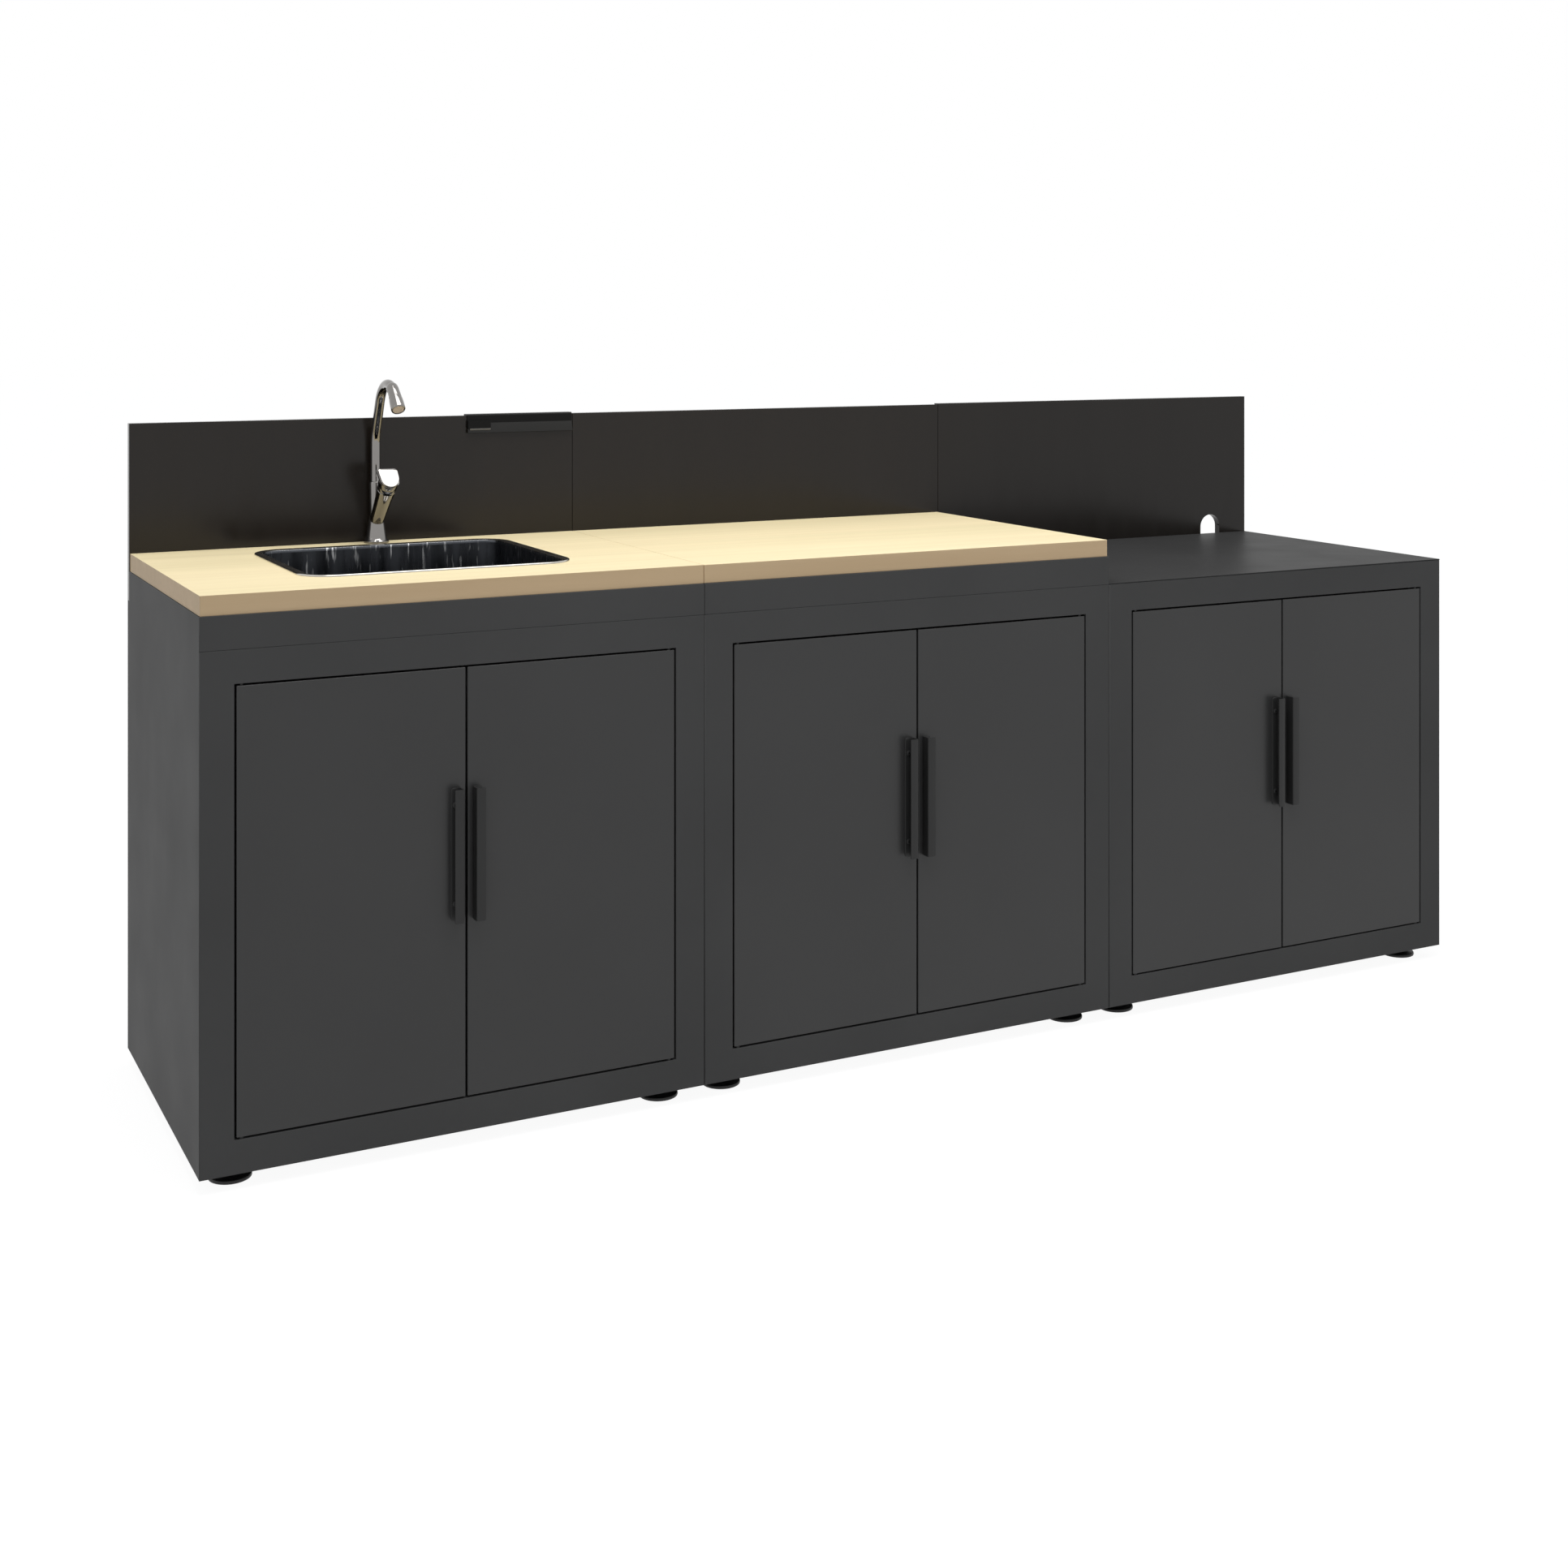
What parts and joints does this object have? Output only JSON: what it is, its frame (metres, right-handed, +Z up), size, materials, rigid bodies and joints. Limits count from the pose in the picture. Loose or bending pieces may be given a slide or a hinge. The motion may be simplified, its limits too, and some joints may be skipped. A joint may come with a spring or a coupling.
{
  "type": "outdoor kitchen",
  "caption": "Row of dark steel outdoor kitchen cabinets with double doors, pale wooden worktops, an inset sink with a swan-neck tap, a bare steel deck and splash panels.",
  "frame": {"origin": "on the ground, under the middle of the row's footprint", "axes": "+X along the row to the right seen from the front, +Y to the back, +Z up"},
  "size_m": [2.3992, 0.6224, 1.1553],
  "materials": {
    "cabinet_paint": "satin",
    "door_paint": "satin",
    "splash_paint": "semi-gloss",
    "handle_black": "satin",
    "foot_black": "satin",
    "pale_wood": "oiled",
    "stainless": "polished",
    "chrome": "mirror",
    "zinc": "plated",
    "waste_plastic": "smooth"
  },
  "bodies": {
    "kitchen": {"sink_side_left": "cabinet_paint", "sink_side_right": "cabinet_paint", "sink_base": "cabinet_paint", "sink_back": "cabinet_paint", "sink_frame": "cabinet_paint", "prep_side_left": "cabinet_paint", "prep_side_right": "cabinet_paint", "prep_base": "cabinet_paint", "prep_back": "cabinet_paint", "prep_frame": "cabinet_paint", "prep_shelf": "cabinet_paint", "grill_side_left": "cabinet_paint", "grill_side_right": "cabinet_paint", "grill_base": "cabinet_paint", "grill_back": "cabinet_paint", "grill_frame": "cabinet_paint", "sink_riser": "cabinet_paint", "prep_riser": "cabinet_paint", "sink_worktop": "pale_wood", "prep_worktop": "pale_wood", "grill_deck": "cabinet_paint", "sink_splash": "splash_paint", "prep_splash": "splash_paint", "grill_splash": "splash_paint", "sink_bowl": "stainless", "sink_waste": "stainless", "sink_trap": "waste_plastic", "tap_body": "chrome", "hinge_pins": "zinc", "door_catches": "handle_black", "joining_bolts": "zinc"},
    "sink_door_left": {"sink_door_left": "door_paint", "sink_handle_left": "handle_black"},
    "sink_door_right": {"sink_door_right": "door_paint", "sink_handle_right": "handle_black"},
    "sink_foot_front_left": {"sink_foot_front_left": "foot_black"},
    "sink_foot_front_right": {"sink_foot_front_right": "foot_black"},
    "sink_foot_back_left": {"sink_foot_back_left": "foot_black"},
    "sink_foot_back_right": {"sink_foot_back_right": "foot_black"},
    "prep_door_left": {"prep_door_left": "door_paint", "prep_handle_left": "handle_black"},
    "prep_door_right": {"prep_door_right": "door_paint", "prep_handle_right": "handle_black"},
    "prep_foot_front_left": {"prep_foot_front_left": "foot_black"},
    "prep_foot_front_right": {"prep_foot_front_right": "foot_black"},
    "prep_foot_back_left": {"prep_foot_back_left": "foot_black"},
    "prep_foot_back_right": {"prep_foot_back_right": "foot_black"},
    "grill_door_left": {"grill_door_left": "door_paint", "grill_handle_left": "handle_black"},
    "grill_door_right": {"grill_door_right": "door_paint", "grill_handle_right": "handle_black"},
    "grill_foot_front_left": {"grill_foot_front_left": "foot_black"},
    "grill_foot_front_right": {"grill_foot_front_right": "foot_black"},
    "grill_foot_back_left": {"grill_foot_back_left": "foot_black"},
    "grill_foot_back_right": {"grill_foot_back_right": "foot_black"},
    "tap_spout": {"tap_spout": "chrome"},
    "tap_collar": {"tap_collar": "chrome"},
    "tap_lever": {"tap_lever": "chrome"},
    "strainer": {"sink_strainer": "chrome"},
    "hook_rail": {"hook_rail": "handle_black"}
  },
  "joints": [
    {"name": "sink_door_left_hinge", "type": "hinge", "parent": "kitchen", "child": "sink_door_left", "pos_m": [-1.1386, -0.2852, 0.404], "axis": [0, 0, -1], "range_deg": [0, 95]},
    {"name": "sink_door_right_hinge", "type": "hinge", "parent": "kitchen", "child": "sink_door_right", "pos_m": [-0.4614, -0.2852, 0.404], "axis": [0, 0, 1], "range_deg": [0, 95]},
    {"name": "sink_foot_front_left_height", "type": "slide", "parent": "kitchen", "child": "sink_foot_front_left", "axis": [0, 0, -1], "range_m": [0, 0.015]},
    {"name": "sink_foot_front_right_height", "type": "slide", "parent": "kitchen", "child": "sink_foot_front_right", "axis": [0, 0, -1], "range_m": [0, 0.015]},
    {"name": "sink_foot_back_left_height", "type": "slide", "parent": "kitchen", "child": "sink_foot_back_left", "axis": [0, 0, -1], "range_m": [0, 0.015]},
    {"name": "sink_foot_back_right_height", "type": "slide", "parent": "kitchen", "child": "sink_foot_back_right", "axis": [0, 0, -1], "range_m": [0, 0.015]},
    {"name": "prep_door_left_hinge", "type": "hinge", "parent": "kitchen", "child": "prep_door_left", "pos_m": [-0.3386, -0.2852, 0.404], "axis": [0, 0, -1], "range_deg": [0, 95]},
    {"name": "prep_door_right_hinge", "type": "hinge", "parent": "kitchen", "child": "prep_door_right", "pos_m": [0.3386, -0.2852, 0.404], "axis": [0, 0, 1], "range_deg": [0, 95]},
    {"name": "prep_foot_front_left_height", "type": "slide", "parent": "kitchen", "child": "prep_foot_front_left", "axis": [0, 0, -1], "range_m": [0, 0.015]},
    {"name": "prep_foot_front_right_height", "type": "slide", "parent": "kitchen", "child": "prep_foot_front_right", "axis": [0, 0, -1], "range_m": [0, 0.015]},
    {"name": "prep_foot_back_left_height", "type": "slide", "parent": "kitchen", "child": "prep_foot_back_left", "axis": [0, 0, -1], "range_m": [0, 0.015]},
    {"name": "prep_foot_back_right_height", "type": "slide", "parent": "kitchen", "child": "prep_foot_back_right", "axis": [0, 0, -1], "range_m": [0, 0.015]},
    {"name": "grill_door_left_hinge", "type": "hinge", "parent": "kitchen", "child": "grill_door_left", "pos_m": [0.4614, -0.2852, 0.404], "axis": [0, 0, -1], "range_deg": [0, 95]},
    {"name": "grill_door_right_hinge", "type": "hinge", "parent": "kitchen", "child": "grill_door_right", "pos_m": [1.1386, -0.2852, 0.404], "axis": [0, 0, 1], "range_deg": [0, 95]},
    {"name": "grill_foot_front_left_height", "type": "slide", "parent": "kitchen", "child": "grill_foot_front_left", "axis": [0, 0, -1], "range_m": [0, 0.015]},
    {"name": "grill_foot_front_right_height", "type": "slide", "parent": "kitchen", "child": "grill_foot_front_right", "axis": [0, 0, -1], "range_m": [0, 0.015]},
    {"name": "grill_foot_back_left_height", "type": "slide", "parent": "kitchen", "child": "grill_foot_back_left", "axis": [0, 0, -1], "range_m": [0, 0.015]},
    {"name": "grill_foot_back_right_height", "type": "slide", "parent": "kitchen", "child": "grill_foot_back_right", "axis": [0, 0, -1], "range_m": [0, 0.015]},
    {"name": "spout_swivel", "type": "hinge", "parent": "kitchen", "child": "tap_spout", "pos_m": [-0.7806, 0.2758, 0.893], "axis": [0, 0, 1], "range_deg": [-75, 75]},
    {"name": "tap_temperature", "type": "hinge", "parent": "kitchen", "child": "tap_collar", "pos_m": [-0.7806, 0.20233, 0.96763], "axis": [0, -0.7071, 0.7071], "range_deg": [-45, 45]},
    {"name": "tap_flow", "type": "hinge", "parent": "tap_collar", "child": "tap_lever", "pos_m": [-0.7806, 0.20233, 0.96763], "axis": [-1, 0, 0], "range_deg": [0, 20]},
    {"name": "strainer_lift", "type": "slide", "parent": "kitchen", "child": "strainer", "axis": [0, 0, 1], "range_m": [0, 0.12]},
    {"name": "hook_rail_slide", "type": "slide", "parent": "kitchen", "child": "hook_rail", "axis": [1, 0, 0], "range_m": [-0.13, 0.79]}
  ]
}
